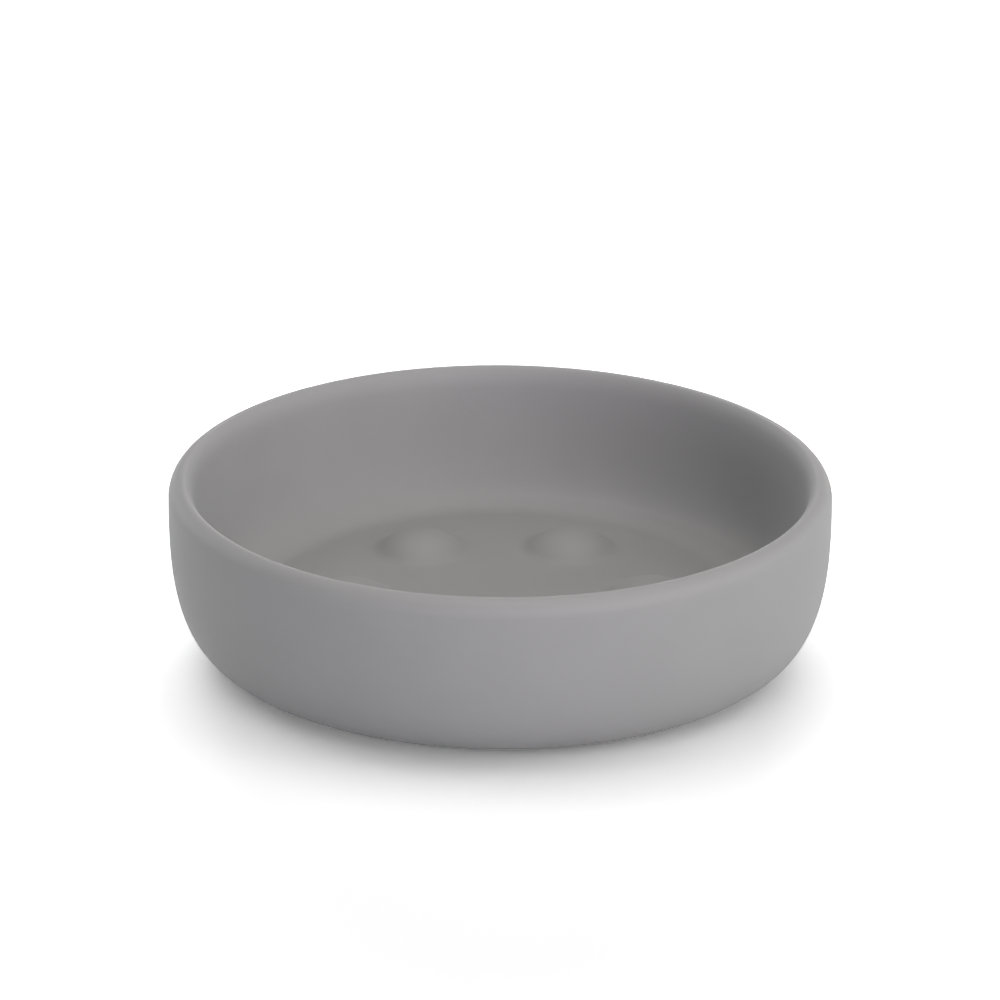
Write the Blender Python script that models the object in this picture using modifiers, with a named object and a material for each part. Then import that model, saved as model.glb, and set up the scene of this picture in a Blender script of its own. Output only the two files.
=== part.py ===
"""Round stoneware soap dish with a ring of drain nubs on its floor, standing on four thin pads.

Run with: blender --background --python part.py
Units are metres and +Z is up. The origin is the centre of the dish on the surface that it stands on.
"""

import math

import bpy

MM = 0.001

# Overall size of the dish
DISH_RADIUS = 60.0 * MM  # widest point of the belly
DISH_HEIGHT = 32.0 * MM  # from the foot to the crown of the lip

# Lip: an outer and an inner elliptical rounding that meet at the crown
LIP_OUTER_WIDTH = 2.7 * MM  # from the widest point of the belly to the crown
LIP_OUTER_DROP = 3.2 * MM  # height of the outer rounding
LIP_INNER_WIDTH = 2.0 * MM  # from the crown in to where the inner rounding would be upright
LIP_INNER_DROP = 5.8 * MM  # height of the inner rounding

# Belly: a superellipse from the foot up to the widest point
FOOT_RADIUS = 46.0 * MM
BELLY_FULLNESS = 2.85  # 2 is an ellipse, and more is squarer

# Inside, from the lip inwards: a wall that leans outwards, a sloping shelf, a gutter, and the floor.
# Each softness is the share of a side that the curve at its end takes up.
WALL_DRAFT = math.radians(6.7)
COVE_SOFTNESS_ON_WALL = 0.71
COVE_SOFTNESS_ON_SHELF = 0.53
SHELF_SLOPE = math.radians(34.0)
GUTTER_INSET = 9.7 * MM  # from the top of the wall in to the bottom of the gutter
GUTTER_DEPTH = 1.8 * MM
GUTTER_ROUNDING = 0.6 * MM
GUTTER_WIDTH = 8.9 * MM  # from the bottom of the gutter in to the edge of the floor
FLOOR_SOFTNESS = 0.66
FLOOR_THICKNESS = 5.0 * MM

# Drain nubs: elliptical domes with a soft foot, in a ring on the floor
NUB_COUNT = 6
NUB_RING_RADIUS = 27.4 * MM
NUB_RING_TURN = math.radians(1.7)
NUB_RADIUS = 8.5 * MM
NUB_HEIGHT = 3.1 * MM
NUB_SINK = 4.3 * MM  # depth of the ellipse's centre below the floor
NUB_FOOT = 1.1 * MM  # how far from the dome's edge its foot is rounded
NUB_RUNOUT = 0.4 * MM  # how far below the floor the rounded foot ends
NUB_ROOT = 1.0 * MM  # depth of the nub's root inside the floor

# Recess on the underside, which leaves a broad foot
RECESS_RADIUS = 33.0 * MM
RECESS_DEPTH = 3.6 * MM
RECESS_DRAFT = math.radians(30.0)  # lean of the recess wall
RECESS_ROUNDING = 0.8 * MM

# Thin pads, stuck on the middle of the foot
PAD_COUNT = 4
PAD_RADIUS = 4.5 * MM
PAD_THICKNESS = 0.9 * MM
PAD_ROUNDING = 0.25 * MM
PAD_RING_TURN = math.radians(45.0)
PAD_GAP = 0.3 * MM  # film of adhesive between pad and foot

# Fineness of the round surfaces
DISH_STEPS = 96
NUB_STEPS = 20
PAD_STEPS = 32
FLOOR_STEPS = 3
GUTTER_STEPS = 2
COVE_STEPS = 7
BELLY_STEPS = 14
LIP_STEPS = 5
RECESS_STEPS = 2
NUB_RINGS = 6
NUB_FOOT_STEPS = 2
PAD_ROUNDING_STEPS = 2
SHARP_ANGLE = math.radians(40.0)  # edges sharper than this are shaded as edges

# Finishes: linear colour and roughness
STONEWARE_COLOUR = (0.33, 0.32, 0.32)
STONEWARE_ROUGHNESS = 0.6
PAD_COLOUR = (0.62, 0.62, 0.6)
PAD_ROUGHNESS = 0.45

# Heights and radii that follow from the sizes above
FOOT_LEVEL = PAD_THICKNESS + PAD_GAP
RECESS_LEVEL = FOOT_LEVEL + RECESS_DEPTH
FLOOR_LEVEL = RECESS_LEVEL + FLOOR_THICKNESS
LIP_LEVEL = FOOT_LEVEL + DISH_HEIGHT
CROWN_RADIUS = DISH_RADIUS - LIP_OUTER_WIDTH
PAD_RING_RADIUS = (RECESS_RADIUS + FOOT_RADIUS) / 2


def clear_scene():
    for obj in list(bpy.data.objects):
        bpy.data.objects.remove(obj, do_unlink=True)


def make_collection(name):
    collection = bpy.data.collections.new(name)
    bpy.context.scene.collection.children.link(collection)
    return collection


def make_material(name, colour, roughness):
    material = bpy.data.materials.new(name)
    material.use_nodes = True
    material.diffuse_color = (*colour, 1.0)
    shader = material.node_tree.nodes["Principled BSDF"]
    shader.inputs["Base Color"].default_value = (*colour, 1.0)
    shader.inputs["Roughness"].default_value = roughness
    shader.inputs["Metallic"].default_value = 0.0
    return material


def arc(centre, semi_r, semi_z, start, end, steps):
    """Points of an elliptical arc in the profile plane, both ends included."""
    points = []
    for i in range(steps + 1):
        angle = start + (end - start) * i / steps
        points.append((centre[0] + semi_r * math.cos(angle), centre[1] + semi_z * math.sin(angle)))
    return points


def rounded_corner(before, corner, after, reaches, steps):
    """Points of the curve that replaces a corner and touches its two sides at the given reaches."""
    ends = []
    for side, reach in zip((before, after), reaches):
        share = reach / math.dist(corner, side)
        ends.append([c + (s - c) * share for c, s in zip(corner, side)])
    points = []
    for i in range(steps + 1):
        t = i / steps
        weights = ((1 - t) ** 2, 2 * t * (1 - t), t**2)
        places = zip(ends[0], corner, ends[1])
        points.append(tuple(sum(w * p for w, p in zip(weights, place)) for place in places))
    return points


def lip():
    inner_centre = (CROWN_RADIUS, LIP_LEVEL - LIP_INNER_DROP)
    outer_centre = (CROWN_RADIUS, LIP_LEVEL - LIP_OUTER_DROP)
    start = math.pi - math.atan(math.tan(WALL_DRAFT) * LIP_INNER_DROP / LIP_INNER_WIDTH)
    inner = arc(inner_centre, LIP_INNER_WIDTH, LIP_INNER_DROP, start, math.pi / 2, LIP_STEPS)
    outer = arc(outer_centre, LIP_OUTER_WIDTH, LIP_OUTER_DROP, math.pi / 2, 0.0, LIP_STEPS)
    return inner + outer[1:]


def inside(wall_top):
    """Floor, gutter, shelf, cove and wall, up to the foot of the lip's inner rounding."""
    middle = (0.0, FLOOR_LEVEL)
    gutter = (wall_top[0] - GUTTER_INSET, FLOOR_LEVEL - GUTTER_DEPTH)
    floor_edge = (gutter[0] - GUTTER_WIDTH, FLOOR_LEVEL)
    height = wall_top[1] - gutter[1]
    lean = math.tan(WALL_DRAFT)
    slope = math.tan(SHELF_SLOPE)
    shelf_width = (GUTTER_INSET - height * lean) / (1 - slope * lean)
    cove = (gutter[0] + shelf_width, gutter[1] + slope * shelf_width)
    floor_reach = FLOOR_SOFTNESS * math.dist(floor_edge, gutter)
    shelf_reach = COVE_SOFTNESS_ON_SHELF * math.dist(gutter, cove)
    wall_reach = COVE_SOFTNESS_ON_WALL * math.dist(cove, wall_top)

    points = [middle]
    points += rounded_corner(middle, floor_edge, gutter, (floor_reach, floor_reach), FLOOR_STEPS)
    points += rounded_corner(floor_edge, gutter, cove, (GUTTER_ROUNDING, GUTTER_ROUNDING), GUTTER_STEPS)
    points += rounded_corner(gutter, cove, wall_top, (shelf_reach, wall_reach), COVE_STEPS)
    return points


def belly():
    """Outer wall, from its widest point down to the edge of the foot."""
    top = LIP_LEVEL - LIP_OUTER_DROP
    width = DISH_RADIUS - FOOT_RADIUS
    height = top - FOOT_LEVEL
    power = 2 / BELLY_FULLNESS
    points = []
    for i in range(BELLY_STEPS + 1):
        angle = math.pi / 2 * i / BELLY_STEPS
        r = FOOT_RADIUS + width * math.cos(angle) ** power if i < BELLY_STEPS else FOOT_RADIUS
        points.append((r, top - height * math.sin(angle) ** power))
    return points


def underside(outer_edge):
    """Foot and recess, from the outer edge of the foot to the middle of the recess."""
    foot_edge = (RECESS_RADIUS, FOOT_LEVEL)
    recess_edge = (RECESS_RADIUS - RECESS_DEPTH * math.tan(RECESS_DRAFT), RECESS_LEVEL)
    recess_middle = (0.0, RECESS_LEVEL)
    reaches = (RECESS_ROUNDING, RECESS_ROUNDING)
    points = rounded_corner(outer_edge, foot_edge, recess_edge, reaches, RECESS_STEPS)
    points += rounded_corner(foot_edge, recess_edge, recess_middle, reaches, RECESS_STEPS)
    return points + [recess_middle]


def dish_profile():
    """Half section of the dish, from the middle of the floor over the lip to the middle of the underside."""
    rim = lip()
    outside = belly()
    return inside(rim[0]) + rim + outside[1:] + underside(outside[-1])


def nub_profile():
    """Half section of a nub with the floor at z = 0, from its crown down to the middle of its root."""
    semi_z = NUB_HEIGHT + NUB_SINK
    semi_r = NUB_RADIUS / math.cos(math.asin(NUB_SINK / semi_z))
    edge_angle = math.asin((NUB_SINK - NUB_RUNOUT) / semi_z)
    edge = (semi_r * math.cos(edge_angle), -NUB_RUNOUT)
    dome = arc((0.0, -NUB_SINK), semi_r, semi_z, math.pi / 2, edge_angle + NUB_FOOT / semi_z, NUB_RINGS)
    foot_end = (edge[0] + NUB_FOOT, -NUB_RUNOUT)
    reaches = (math.dist(dome[-1], edge), NUB_FOOT)
    foot = rounded_corner(dome[-1], edge, foot_end, reaches, NUB_FOOT_STEPS)
    return dome + foot[1:] + [(foot_end[0], -NUB_ROOT), (0.0, -NUB_ROOT)]


def turned_mesh(name, profile):
    """Mesh of a profile in the XZ plane, for a Screw modifier to turn about Z."""
    mesh = bpy.data.meshes.new(name)
    vertices = [(r, 0.0, z) for r, z in profile]
    edges = [(i, i + 1) for i in range(len(profile) - 1)]
    mesh.from_pydata(vertices, edges, [])
    return mesh


def add_screw(obj, steps):
    screw = obj.modifiers.new("Turn", "SCREW")
    screw.axis = "Z"
    screw.angle = 2 * math.pi
    screw.steps = steps
    screw.render_steps = steps
    screw.use_merge_vertices = True
    screw.merge_threshold = 0.005 * MM
    screw.use_smooth_shade = True


def on_ring(radius, count, index, turn, level):
    angle = turn + 2 * math.pi * index / count
    return (radius * math.cos(angle), radius * math.sin(angle), level)


def make_nubs(collection):
    mesh = turned_mesh("drain_nub", nub_profile())
    for i in range(NUB_COUNT):
        nub = bpy.data.objects.new(f"drain_nub_{i + 1}", mesh)
        nub.location = on_ring(NUB_RING_RADIUS, NUB_COUNT, i, NUB_RING_TURN, FLOOR_LEVEL)
        nub.hide_render = True
        nub.display_type = "WIRE"
        collection.objects.link(nub)
        add_screw(nub, NUB_STEPS)


def make_dish(collection, nubs, material):
    dish = bpy.data.objects.new("dish_body", turned_mesh("dish_body", dish_profile()))
    dish.data.materials.append(material)
    collection.objects.link(dish)
    add_screw(dish, DISH_STEPS)
    union = dish.modifiers.new("Drain nubs", "BOOLEAN")
    union.operation = "UNION"
    union.solver = "EXACT"
    union.operand_type = "COLLECTION"
    union.collection = nubs


def make_pads(collection, material):
    for i in range(PAD_COUNT):
        place = on_ring(PAD_RING_RADIUS, PAD_COUNT, i, PAD_RING_TURN, PAD_THICKNESS / 2)
        bpy.ops.mesh.primitive_cylinder_add(
            vertices=PAD_STEPS, radius=PAD_RADIUS, depth=PAD_THICKNESS, location=place
        )
        pad = bpy.context.object
        pad.name = f"foot_pad_{i + 1}"
        pad.data.name = pad.name
        pad.data.materials.append(material)
        pad.data.shade_smooth()
        pad.data.set_sharp_from_angle(angle=SHARP_ANGLE)
        rounding = pad.modifiers.new("Rounding", "BEVEL")
        rounding.width = PAD_ROUNDING
        rounding.segments = PAD_ROUNDING_STEPS
        rounding.limit_method = "ANGLE"
        for old in list(pad.users_collection):
            old.objects.unlink(pad)
        collection.objects.link(pad)


def main():
    clear_scene()
    parts = make_collection("soap_dish")
    cutters = make_collection("soap_dish_cutters")
    stoneware = make_material("matt_grey_stoneware", STONEWARE_COLOUR, STONEWARE_ROUGHNESS)
    silicone = make_material("clear_silicone", PAD_COLOUR, PAD_ROUGHNESS)
    make_nubs(cutters)
    make_dish(parts, cutters, stoneware)
    make_pads(parts, silicone)


main()
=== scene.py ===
"""Looks of the round stoneware soap dish: fine mesh, finishes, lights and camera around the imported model."""

import math

import bmesh
import bpy
import numpy
from mathutils import Matrix, Vector


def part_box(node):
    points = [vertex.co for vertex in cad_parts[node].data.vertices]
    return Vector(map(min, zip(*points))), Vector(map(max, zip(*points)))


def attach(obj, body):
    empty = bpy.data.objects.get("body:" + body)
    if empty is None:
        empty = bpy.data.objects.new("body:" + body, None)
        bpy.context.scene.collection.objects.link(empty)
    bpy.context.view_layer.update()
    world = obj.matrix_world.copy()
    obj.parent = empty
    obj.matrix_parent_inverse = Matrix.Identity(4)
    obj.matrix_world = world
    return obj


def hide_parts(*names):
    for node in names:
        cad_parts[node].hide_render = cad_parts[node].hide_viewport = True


MM = 0.001

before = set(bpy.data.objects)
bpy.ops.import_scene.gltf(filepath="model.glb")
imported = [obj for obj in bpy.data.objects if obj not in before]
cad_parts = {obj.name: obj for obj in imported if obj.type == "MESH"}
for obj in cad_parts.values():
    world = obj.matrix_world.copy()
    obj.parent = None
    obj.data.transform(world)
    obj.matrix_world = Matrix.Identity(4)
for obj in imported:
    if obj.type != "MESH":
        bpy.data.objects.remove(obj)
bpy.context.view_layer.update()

# Heights and radius of the dish, from the frame
dish_low, dish_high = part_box("dish_body")
DISH_RADIUS = (dish_high[0] - dish_low[0]) / 2
FOOT_LEVEL = dish_low[2]
LIP_LEVEL = dish_high[2]

# Shape of the dish's section. The gutter and the floor's edge are a little softer than in the solids.
LIP_OUTER_WIDTH = 2.7 * MM
LIP_OUTER_DROP = 3.2 * MM
LIP_INNER_WIDTH = 2.0 * MM
LIP_INNER_DROP = 5.8 * MM
FOOT_RADIUS = 46.0 * MM
BELLY_FULLNESS = 2.85
WALL_DRAFT = math.radians(6.7)
COVE_SOFTNESS_ON_WALL = 0.71
COVE_SOFTNESS_ON_SHELF = 0.53
SHELF_SLOPE = math.radians(34.0)
GUTTER_INSET = 9.7 * MM
GUTTER_DEPTH = 1.8 * MM
GUTTER_ROUNDING = 2.8 * MM
GUTTER_WIDTH = 8.9 * MM
FLOOR_SOFTNESS = 0.6
FLOOR_THICKNESS = 5.0 * MM
RECESS_RADIUS = 33.0 * MM
RECESS_DEPTH = 3.6 * MM
RECESS_DRAFT = math.radians(30.0)
RECESS_ROUNDING = 0.8 * MM

# Drain nubs, with a foot a little wider than in the solids
NUB_COUNT = 6
NUB_RING_RADIUS = 27.4 * MM
NUB_RING_TURN = math.radians(1.7)
NUB_RADIUS = 8.5 * MM
NUB_HEIGHT = 3.1 * MM
NUB_SINK = 4.3 * MM
NUB_FOOT = 1.3 * MM

# Fineness of the mesh
SEGMENTS = 256
LONGEST_SIDE = 0.5 * MM
ROUNDING_STEPS = 12
COVE_STEPS = 40
NUB_STEPS = 40
LIP_STEPS = 16
BELLY_STEPS = 60
UNDERSIDE_RINGS = 8

# Stoneware's finish
STONEWARE_COLOUR = (0.33, 0.33, 0.33)
STONEWARE_ROUGHNESS = 0.64
STONEWARE_SPECULAR = 1.0
CLOUD_SCALE = 60.0
CLOUD_DETAIL = 3.0
CLOUD_CONTRAST = 0.02
GRAIN_SCALE = 3500.0
GRAIN_DETAIL = 2.0
GRAIN_ROUGHNESS = 0.6
GRAIN_DEPTH = 0.02 * MM

# Silicone's finish
SILICONE_DARK = (0.58, 0.58, 0.56)
SILICONE_LIGHT = (0.66, 0.66, 0.64)
SILICONE_ROUGHNESS = 0.4
SILICONE_IOR = 1.41
SILICONE_SUBSURFACE = 0.3
SILICONE_SCATTER_DEPTH = 1.0 * MM
HAZE_SCALE = 600.0
HAZE_DETAIL = 2.0

# Floor. FLOOR_COLOUR is what it bounces onto the object, and FLOOR_WHITE is what is seen, which comes out
# white away from the shadow.
FLOOR_HALF_SIZE = 3.0
FLOOR_COLOUR = 0.9
FLOOR_WHITE = 1.92

# Softboxes: azimuth and elevation in degrees, width and height in metres, power in watts, and colour. Azimuth
# is 0 on the viewer's side and 90 on the right. One set lights the object, and the other the floor.
SOFTBOX_DISTANCE = 1.2
NEUTRAL = (1.0, 1.0, 1.0)
WARM = (1.03, 0.994, 0.97)
COOL = (1.0, 0.997, 1.045)
COLD = (1.018, 0.983, 1.11)
OBJECT_SOFTBOXES = {
    "low_front": (0.0, 12.0, 0.8, 0.5, 3.45, COLD),
    "low_right_front": (22.0, 15.0, 0.3, 0.3, 1.0, WARM),
    "low_right": (90.0, 15.0, 0.3, 0.3, 1.9, COOL),
    "low_right_back": (135.0, 15.0, 0.3, 0.3, 0.8, NEUTRAL),
    "low_back": (180.0, 15.0, 0.3, 0.3, 1.25, COOL),
    "low_left_back": (225.0, 15.0, 0.3, 0.3, 2.2, COOL),
    "key_right": (45.0, 25.0, 0.8, 0.8, 4.4, WARM),
    "side_left": (270.0, 30.0, 0.3, 0.3, 0.45, NEUTRAL),
    "high_back": (180.0, 30.0, 0.3, 0.3, 0.4, NEUTRAL),
    "top_back": (180.0, 75.0, 0.8, 0.8, 2.85, WARM),
    "top": (0.0, 85.0, 0.3, 0.3, 2.35, WARM),
}
FLOOR_SOFTBOXES = {
    "floor_right_front": (45.0, 12.0, 0.8, 0.5, 2.2, NEUTRAL),
    "floor_right": (90.0, 12.0, 0.8, 0.5, 3.7, NEUTRAL),
    "floor_back": (180.0, 12.0, 0.8, 0.5, 13.9, NEUTRAL),
    "floor_left_front": (315.0, 12.0, 0.8, 0.5, 4.0, NEUTRAL),
    "floor_right_back": (135.0, 30.0, 0.8, 0.8, 0.95, NEUTRAL),
    "floor_high_right": (90.0, 55.0, 0.8, 0.8, 1.15, NEUTRAL),
    "floor_high_left_back": (225.0, 55.0, 0.8, 0.8, 1.25, NEUTRAL),
    "floor_high_left": (270.0, 55.0, 0.8, 0.8, 1.8, NEUTRAL),
    "floor_top": (180.0, 80.0, 0.8, 0.8, 2.4, NEUTRAL),
}

# Camera: view direction, distance, point aimed at, and scale in pixels of the 1000-pixel picture
VIEW_ELEVATION = math.radians(21.59)
VIEW_DISTANCE = 1.4
VIEW_TARGET = Vector((-0.06 * MM, 0.0, FOOT_LEVEL + 27.59 * MM))
VIEW_ROLL = math.radians(0.335)
PIXELS_PER_METRE = 5527.0
PICTURE_WIDTH = 1000.0
SENSOR_WIDTH = 36.0
NEAREST_SEEN = 0.1
FARTHEST_SEEN = 20.0

# What follows from the sizes above
RECESS_LEVEL = FOOT_LEVEL + RECESS_DEPTH
FLOOR_LEVEL = RECESS_LEVEL + FLOOR_THICKNESS
CROWN_RADIUS = DISH_RADIUS - LIP_OUTER_WIDTH


def arc(centre, semi_r, semi_z, start, end, steps):
    """Points of an elliptical arc in the section plane, both ends included."""
    points = []
    for i in range(steps + 1):
        angle = start + (end - start) * i / steps
        points.append((centre[0] + semi_r * math.cos(angle), centre[1] + semi_z * math.sin(angle)))
    return points


def rounded_corner(before, corner, after, reaches, steps):
    """Points of the curve that replaces a corner and touches its two sides at the given reaches."""
    ends = []
    for side, reach in zip((before, after), reaches):
        share = reach / math.dist(corner, side)
        ends.append([c + (s - c) * share for c, s in zip(corner, side)])
    points = []
    for i in range(steps + 1):
        t = i / steps
        weights = ((1 - t) ** 2, 2 * t * (1 - t), t**2)
        places = zip(ends[0], corner, ends[1])
        points.append(tuple(sum(w * p for w, p in zip(weights, place)) for place in places))
    return points


def lip(steps):
    """Inner and outer rounding of the lip, from the top of the inner wall to the widest point outside."""
    inner_centre = (CROWN_RADIUS, LIP_LEVEL - LIP_INNER_DROP)
    outer_centre = (CROWN_RADIUS, LIP_LEVEL - LIP_OUTER_DROP)
    start = math.pi - math.atan(math.tan(WALL_DRAFT) * LIP_INNER_DROP / LIP_INNER_WIDTH)
    inner = arc(inner_centre, LIP_INNER_WIDTH, LIP_INNER_DROP, start, math.pi / 2, steps)
    outer = arc(outer_centre, LIP_OUTER_WIDTH, LIP_OUTER_DROP, math.pi / 2, 0.0, steps)
    return inner + outer[1:]


def belly(steps):
    """Outer wall, from its widest point down to the edge of the foot."""
    top = LIP_LEVEL - LIP_OUTER_DROP
    width = DISH_RADIUS - FOOT_RADIUS
    height = top - FOOT_LEVEL
    power = 2 / BELLY_FULLNESS
    points = []
    for i in range(steps + 1):
        angle = math.pi / 2 * i / steps
        r = FOOT_RADIUS + width * max(0.0, math.cos(angle)) ** power
        points.append((r, top - height * math.sin(angle) ** power))
    return points


def inside(wall_top):
    """Floor, gutter, shelf, cove and wall, up to the foot of the lip's inner rounding."""
    middle = (0.0, FLOOR_LEVEL)
    gutter = (wall_top[0] - GUTTER_INSET, FLOOR_LEVEL - GUTTER_DEPTH)
    floor_edge = (gutter[0] - GUTTER_WIDTH, FLOOR_LEVEL)
    height = wall_top[1] - gutter[1]
    lean = math.tan(WALL_DRAFT)
    slope = math.tan(SHELF_SLOPE)
    shelf_width = (GUTTER_INSET - height * lean) / (1 - slope * lean)
    cove = (gutter[0] + shelf_width, gutter[1] + slope * shelf_width)
    floor_reach = FLOOR_SOFTNESS * math.dist(floor_edge, gutter)
    shelf_reach = COVE_SOFTNESS_ON_SHELF * math.dist(gutter, cove)
    wall_reach = COVE_SOFTNESS_ON_WALL * math.dist(cove, wall_top)

    points = [middle]
    points += rounded_corner(middle, floor_edge, gutter, (floor_reach, floor_reach), COVE_STEPS)
    points += rounded_corner(floor_edge, gutter, cove, (GUTTER_ROUNDING, GUTTER_ROUNDING), ROUNDING_STEPS)
    points += rounded_corner(gutter, cove, wall_top, (shelf_reach, wall_reach), COVE_STEPS)
    return points


def with_short_sides(points):
    """The same line, with no side longer than LONGEST_SIDE."""
    finer = [points[0]]
    for start, end in zip(points, points[1:]):
        count = math.ceil(math.dist(start, end) / LONGEST_SIDE)
        for i in range(1, count + 1):
            finer.append(tuple(a + (b - a) * i / count for a, b in zip(start, end)))
    return finer


def underside(outer_edge):
    """Foot and recess, from the outer edge of the foot almost to the middle of the recess."""
    foot_edge = (RECESS_RADIUS, FOOT_LEVEL)
    recess_edge = (RECESS_RADIUS - RECESS_DEPTH * math.tan(RECESS_DRAFT), RECESS_LEVEL)
    recess_middle = (0.0, RECESS_LEVEL)
    reaches = (RECESS_ROUNDING, RECESS_ROUNDING)
    points = rounded_corner(outer_edge, foot_edge, recess_edge, reaches, ROUNDING_STEPS)
    points += rounded_corner(foot_edge, recess_edge, recess_middle, reaches, ROUNDING_STEPS)
    start = points[-1][0]
    points += [(start * (1 - i / UNDERSIDE_RINGS), RECESS_LEVEL) for i in range(1, UNDERSIDE_RINGS)]
    return points


def nub_profile():
    """Half section of a nub above the floor, from its crown out to the end of its rounded foot."""
    semi_z = NUB_HEIGHT + NUB_SINK
    edge_angle = math.asin(NUB_SINK / semi_z)
    semi_r = NUB_RADIUS / math.cos(edge_angle)
    edge = (NUB_RADIUS, 0.0)
    dome = arc((0.0, -NUB_SINK), semi_r, semi_z, math.pi / 2, edge_angle + NUB_FOOT / semi_z, NUB_STEPS)
    foot_end = (NUB_RADIUS + NUB_FOOT, 0.0)
    reaches = (math.dist(dome[-1], edge), NUB_FOOT)
    return dome + rounded_corner(dome[-1], edge, foot_end, reaches, NUB_STEPS)[1:]


def nub_rise(x, y, profile):
    """Height of the drain nubs above the floor at a place."""
    distances = []
    for i in range(NUB_COUNT):
        angle = NUB_RING_TURN + 2 * math.pi * i / NUB_COUNT
        centre = (NUB_RING_RADIUS * math.cos(angle), NUB_RING_RADIUS * math.sin(angle))
        distances.append(math.hypot(x - centre[0], y - centre[1]))
    return float(numpy.interp(min(distances), *zip(*profile)))


def make_dish():
    """The dish as one closed mesh: its section turned about the vertical axis, with the nubs on the floor."""
    rim = lip(LIP_STEPS)
    outside = belly(BELLY_STEPS)
    top_side = with_short_sides(inside(rim[0]) + rim)[1:]
    section = top_side + outside[1:] + underside(outside[-1])
    nub = nub_profile()

    bm = bmesh.new()
    angles = [2 * math.pi * k / SEGMENTS for k in range(SEGMENTS)]
    turns = [(math.cos(angle), math.sin(angle)) for angle in angles]
    middle = bm.verts.new((0.0, 0.0, FLOOR_LEVEL))
    rings = []
    for i, (r, z) in enumerate(section):
        ring = []
        for c, s in turns:
            rise = nub_rise(r * c, r * s, nub) if i < len(top_side) else 0.0
            ring.append(bm.verts.new((r * c, r * s, z + rise)))
        rings.append(ring)
    bottom = bm.verts.new((0.0, 0.0, RECESS_LEVEL))
    for k in range(SEGMENTS):
        nxt = (k + 1) % SEGMENTS
        bm.faces.new((middle, rings[0][k], rings[0][nxt]))
        for ring, next_ring in zip(rings, rings[1:]):
            bm.faces.new((ring[k], next_ring[k], next_ring[nxt], ring[nxt]))
        bm.faces.new((bottom, rings[-1][nxt], rings[-1][k]))
    mesh = bpy.data.meshes.new("stoneware_dish")
    bm.to_mesh(mesh)
    bm.free()
    mesh.shade_smooth()
    dish = bpy.data.objects.new("stoneware_dish", mesh)
    bpy.context.scene.collection.objects.link(dish)
    return dish


def shader_node(material):
    """Switch the material to nodes, and give its main shader."""
    material.use_nodes = True
    return material.node_tree.nodes["Principled BSDF"]


def add_noise(tree, coordinates, scale, detail, roughness=0.5):
    """Noise between 0 and 1 over the given coordinates."""
    noise = tree.nodes.new("ShaderNodeTexNoise")
    noise.inputs["Scale"].default_value = scale
    noise.inputs["Detail"].default_value = detail
    noise.inputs["Roughness"].default_value = roughness
    tree.links.new(coordinates, noise.inputs["Vector"])
    return noise.outputs["Fac"]


def add_ramp(tree, factor, low, high, start=0.3, end=0.7):
    """Colour that goes from low to high while the factor goes from start to end."""
    ramp = tree.nodes.new("ShaderNodeValToRGB")
    ramp.color_ramp.elements[0].position = start
    ramp.color_ramp.elements[0].color = (*low, 1.0)
    ramp.color_ramp.elements[1].position = end
    ramp.color_ramp.elements[1].color = (*high, 1.0)
    tree.links.new(factor, ramp.inputs["Fac"])
    return ramp.outputs["Color"]


def add_bump(tree, height, distance):
    """Normal of a surface with this relief."""
    bump = tree.nodes.new("ShaderNodeBump")
    bump.inputs["Distance"].default_value = distance
    bump.inputs["Strength"].default_value = 1.0
    tree.links.new(height, bump.inputs["Height"])
    return bump.outputs["Normal"]


def stoneware_material():
    """Matt soft-touch coat on fired stoneware: faint clouding, and a very fine grain."""
    material = bpy.data.materials.new("soft_matt_stoneware")
    shader = shader_node(material)
    tree = material.node_tree
    coordinates = tree.nodes.new("ShaderNodeTexCoord").outputs["Object"]

    cloud = add_noise(tree, coordinates, CLOUD_SCALE, CLOUD_DETAIL)
    low = [c * (1 - CLOUD_CONTRAST) for c in STONEWARE_COLOUR]
    high = [c * (1 + CLOUD_CONTRAST) for c in STONEWARE_COLOUR]
    tree.links.new(add_ramp(tree, cloud, low, high), shader.inputs["Base Color"])

    grain = add_noise(tree, coordinates, GRAIN_SCALE, GRAIN_DETAIL, GRAIN_ROUGHNESS)
    tree.links.new(add_bump(tree, grain, GRAIN_DEPTH), shader.inputs["Normal"])

    shader.inputs["Roughness"].default_value = STONEWARE_ROUGHNESS
    shader.inputs["Specular IOR Level"].default_value = STONEWARE_SPECULAR
    return material


def silicone_material():
    """Milky, slightly see-through silicone."""
    material = bpy.data.materials.new("milky_silicone")
    shader = shader_node(material)
    tree = material.node_tree
    coordinates = tree.nodes.new("ShaderNodeTexCoord").outputs["Object"]

    haze = add_noise(tree, coordinates, HAZE_SCALE, HAZE_DETAIL)
    tree.links.new(add_ramp(tree, haze, SILICONE_DARK, SILICONE_LIGHT), shader.inputs["Base Color"])

    shader.inputs["Roughness"].default_value = SILICONE_ROUGHNESS
    shader.inputs["IOR"].default_value = SILICONE_IOR
    shader.inputs["Subsurface Weight"].default_value = SILICONE_SUBSURFACE
    shader.inputs["Subsurface Radius"].default_value = (1.0, 1.0, 1.0)
    shader.inputs["Subsurface Scale"].default_value = SILICONE_SCATTER_DEPTH
    return material


def add_math(tree, operation, first, second):
    """Math node whose first input is a socket, and whose second is a socket or a number."""
    node = tree.nodes.new("ShaderNodeMath")
    node.operation = operation
    tree.links.new(first, node.inputs[0])
    if isinstance(second, float):
        node.inputs[1].default_value = second
    else:
        tree.links.new(second, node.inputs[1])
    return node.outputs[0]


def seen_rays(tree):
    """1 for rays from the camera, from a reflection or through a clear surface, and 0 for the others."""
    rays = tree.nodes.new("ShaderNodeLightPath").outputs
    seen = add_math(tree, "ADD", rays["Is Camera Ray"], rays["Is Glossy Ray"])
    return add_math(tree, "ADD", seen, rays["Is Transmission Ray"])


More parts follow.
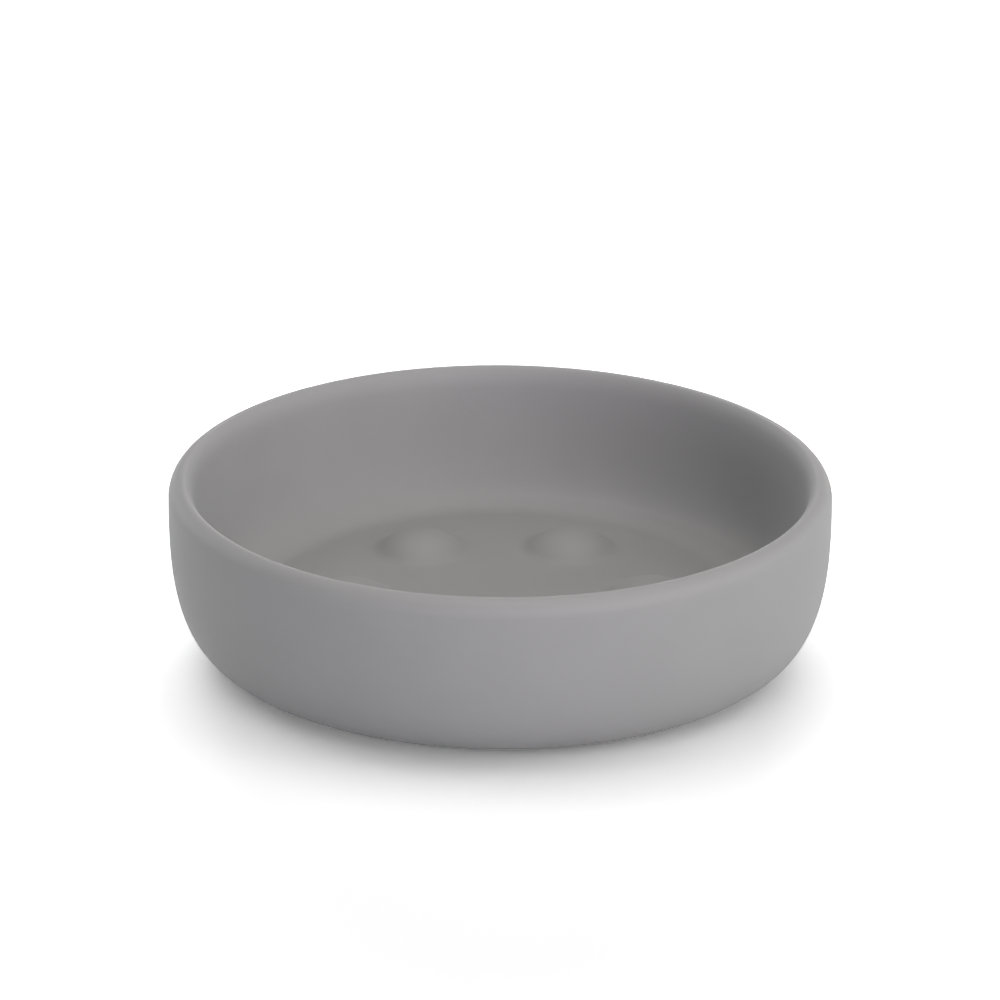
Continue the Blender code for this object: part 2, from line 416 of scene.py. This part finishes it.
def make_floor():
    """White floor that keeps the object's shadow and meets a white background."""
    bm = bmesh.new()
    bmesh.ops.create_grid(bm, x_segments=1, y_segments=1, size=FLOOR_HALF_SIZE)
    mesh = bpy.data.meshes.new("studio_floor")
    bm.to_mesh(mesh)
    bm.free()
    floor = bpy.data.objects.new("studio_floor", mesh)
    bpy.context.scene.collection.objects.link(floor)

    material = bpy.data.materials.new("studio_white")
    material.use_nodes = True
    tree = material.node_tree
    tree.nodes.remove(tree.nodes["Principled BSDF"])
    extra = add_math(tree, "MULTIPLY", seen_rays(tree), FLOOR_WHITE - FLOOR_COLOUR)
    colour = add_math(tree, "ADD", extra, FLOOR_COLOUR)
    shader = tree.nodes.new("ShaderNodeBsdfDiffuse")
    tree.links.new(colour, shader.inputs["Color"])
    tree.links.new(shader.outputs["BSDF"], tree.nodes["Material Output"].inputs["Surface"])
    floor.data.materials.append(material)
    return floor


def make_world():
    """White to the camera, in reflections and seen through things, and no light on matt surfaces."""
    world = bpy.data.worlds.new("studio_world")
    bpy.context.scene.world = world
    world.use_nodes = True
    tree = world.node_tree
    background = tree.nodes["Background"]
    tree.links.new(seen_rays(tree), background.inputs["Strength"])
    background.inputs["Color"].default_value = (1.0, 1.0, 1.0, 1.0)


def linked_floor(name, floor, state):
    """Collection for light linking that takes in the floor, or leaves it out."""
    collection = bpy.data.collections.new(name)
    collection.objects.link(floor)
    collection.collection_objects[0].light_linking.link_state = state
    return collection


def make_softboxes(softboxes, lit):
    """Rectangular lamps that face the dish and light what their collection says."""
    for name, (azimuth, elevation, width, height, power, colour) in softboxes.items():
        data = bpy.data.lights.new(name, "AREA")
        data.shape = "RECTANGLE"
        data.size = width
        data.size_y = height
        data.energy = power
        data.color = colour
        lamp = bpy.data.objects.new(name, data)
        a, e = math.radians(azimuth), math.radians(elevation)
        away = Vector((math.cos(e) * math.sin(a), -math.cos(e) * math.cos(a), math.sin(e)))
        lamp.location = SOFTBOX_DISTANCE * away
        lamp.rotation_euler = away.to_track_quat("Z", "Y").to_euler()
        lamp.light_linking.receiver_collection = lit
        bpy.context.scene.collection.objects.link(lamp)


def make_camera():
    """Camera of the photo."""
    data = bpy.data.cameras.new("photo_camera")
    data.sensor_width = SENSOR_WIDTH
    data.lens = PIXELS_PER_METRE * VIEW_DISTANCE * SENSOR_WIDTH / PICTURE_WIDTH
    data.clip_start = NEAREST_SEEN
    data.clip_end = FARTHEST_SEEN
    camera = bpy.data.objects.new("photo_camera", data)
    away = Vector((0.0, -math.cos(VIEW_ELEVATION), math.sin(VIEW_ELEVATION)))
    turn = Matrix.Rotation(math.pi / 2 - VIEW_ELEVATION, 4, "X") @ Matrix.Rotation(VIEW_ROLL, 4, "Z")
    camera.matrix_world = Matrix.Translation(VIEW_TARGET + away * VIEW_DISTANCE) @ turn
    bpy.context.scene.collection.objects.link(camera)
    bpy.context.scene.camera = camera


bpy.context.scene.view_settings.view_transform = "Standard"
make_camera()
make_world()
studio_floor = make_floor()
make_softboxes(OBJECT_SOFTBOXES, linked_floor("all_but_floor", studio_floor, "EXCLUDE"))
make_softboxes(FLOOR_SOFTBOXES, linked_floor("only_floor", studio_floor, "INCLUDE"))

dish = make_dish()
dish.data.materials.append(stoneware_material())
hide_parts("dish_body")
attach(dish, "root")

silicone = silicone_material()
for name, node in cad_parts.items():
    if name.startswith("foot_pad"):
        node.data.materials.clear()
        node.data.materials.append(silicone)
